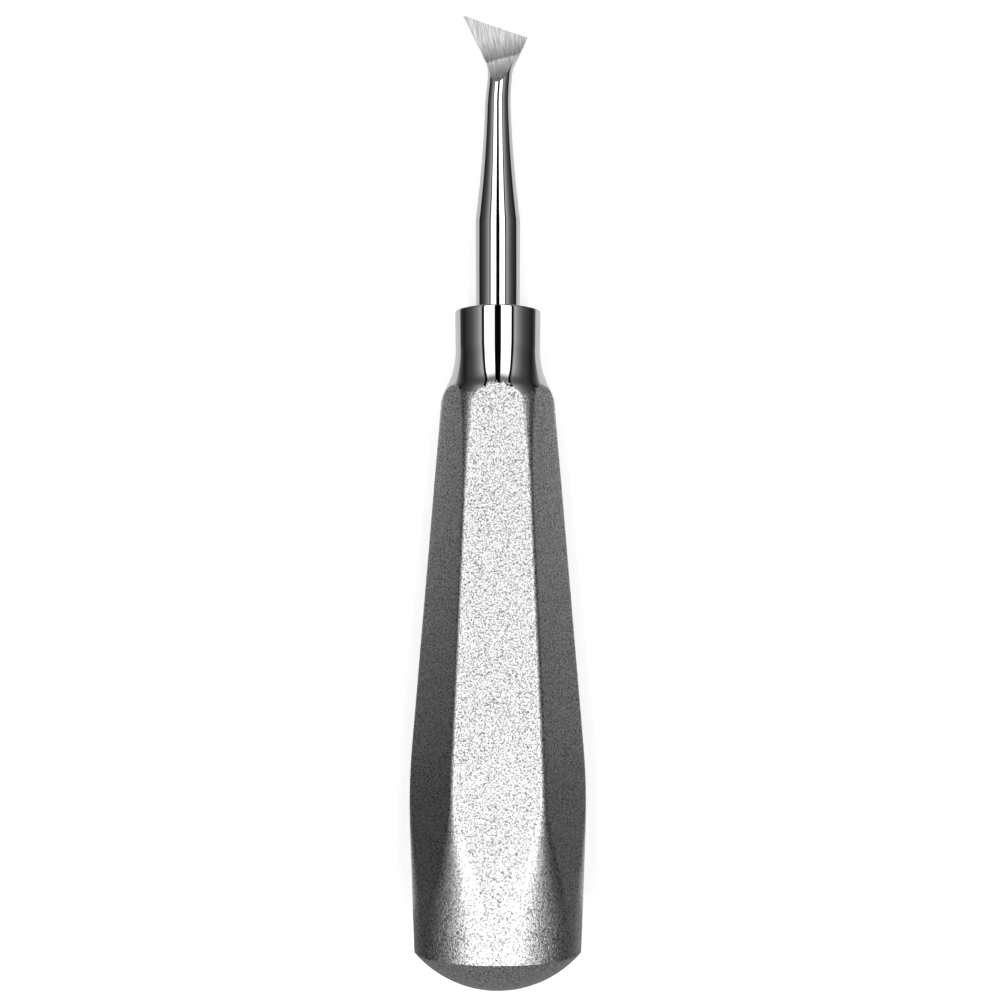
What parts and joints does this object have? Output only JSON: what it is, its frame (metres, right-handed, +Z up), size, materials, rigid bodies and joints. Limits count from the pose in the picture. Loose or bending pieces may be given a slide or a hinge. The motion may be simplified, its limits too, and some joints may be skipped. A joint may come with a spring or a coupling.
{
  "type": "dental elevator",
  "caption": "Dental elevator with an angled triangular flag blade on a tapered round shank, and a thick hollow hexagonal handle with a polished neck and a domed butt.",
  "frame": {"origin": "middle of the back facet of the handle, on the surface that the tool lies on", "axes": "+Y from the butt towards the blade, +Z up, away from the surface, with the ground face of the blade upwards; the tool's own axis falls by 4.1 degrees towards the blade, which is the taper of the facets"},
  "size_m": [0.025, 0.14, 0.0244],
  "materials": {
    "polished_steel": "mirror-polished stainless steel, with a ground face on the blade",
    "peened_steel": "matt stainless steel with a fine peened grain, polished bright at the neck"
  },
  "bodies": {
    "root": {"blade_and_shank": "polished_steel", "handle_shell": "peened_steel", "end_cap": "peened_steel"}
  },
  "joints": []
}
